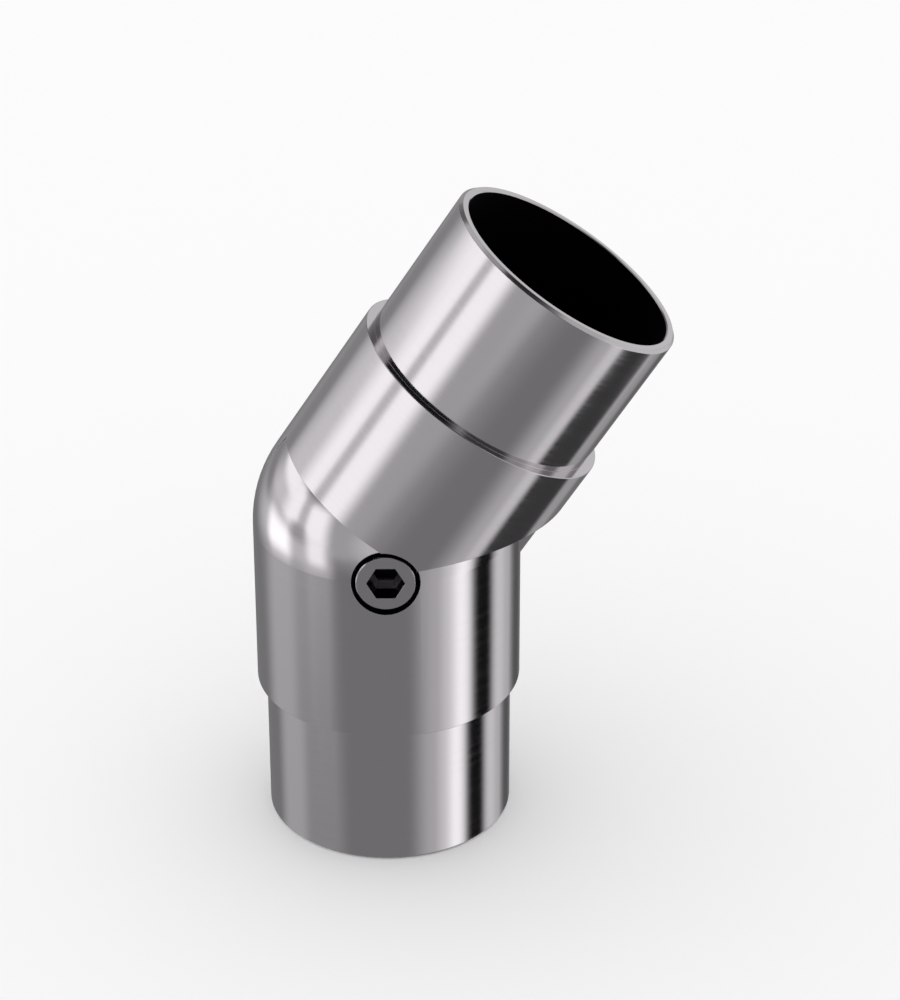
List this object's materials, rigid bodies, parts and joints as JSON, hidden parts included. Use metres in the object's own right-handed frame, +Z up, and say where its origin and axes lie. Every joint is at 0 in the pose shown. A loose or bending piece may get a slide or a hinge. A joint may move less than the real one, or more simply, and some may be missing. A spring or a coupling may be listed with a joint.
{
  "type": "adjustable handrail joiner",
  "caption": "Adjustable joiner for round handrail tube: two hollow spigots on a half-lap ball joint that a hex socket screw clamps at the bend.",
  "frame": {"origin": "centre of the lower spigot's open end, on which the joiner stands", "axes": "+Z up along the lower spigot and body; +Y along the pivot screw from its head to its tip; the joiner bends towards +X"},
  "size_m": [0.0786, 0.0508, 0.1265],
  "materials": {
    "polished_steel": "cast stainless steel, mirror polished outside, dark as cast inside",
    "screw_steel": "plain stainless steel, fine turned faces",
    "nylon": "natural nylon, hidden between the laps"
  },
  "bodies": {
    "lower": {"lower_half": "polished_steel", "lap_washer": "nylon"},
    "upper": {"upper_half": "polished_steel"},
    "washer": {"lock_washer": "screw_steel"},
    "screw": {"pivot_screw": "screw_steel"}
  },
  "joints": [
    {"name": "bend", "type": "hinge", "parent": "lower", "child": "upper", "pos_m": [0, 0, 0.062], "axis": [0, 1, 0], "range_deg": [-33, 12]},
    {"name": "screw_travel", "type": "slide", "parent": "upper", "child": "washer", "axis": [0, -1, 0], "range_m": [0, 0.00125]},
    {"name": "screw_turn", "type": "hinge", "parent": "washer", "child": "screw", "pos_m": [0, 0, 0.062], "axis": [0, -1, 0], "range_deg": [0, 360]}
  ],
  "couplings": [
    {"joint": "screw_turn", "follows": "screw_travel", "rad_per_m": 5026.5}
  ]
}
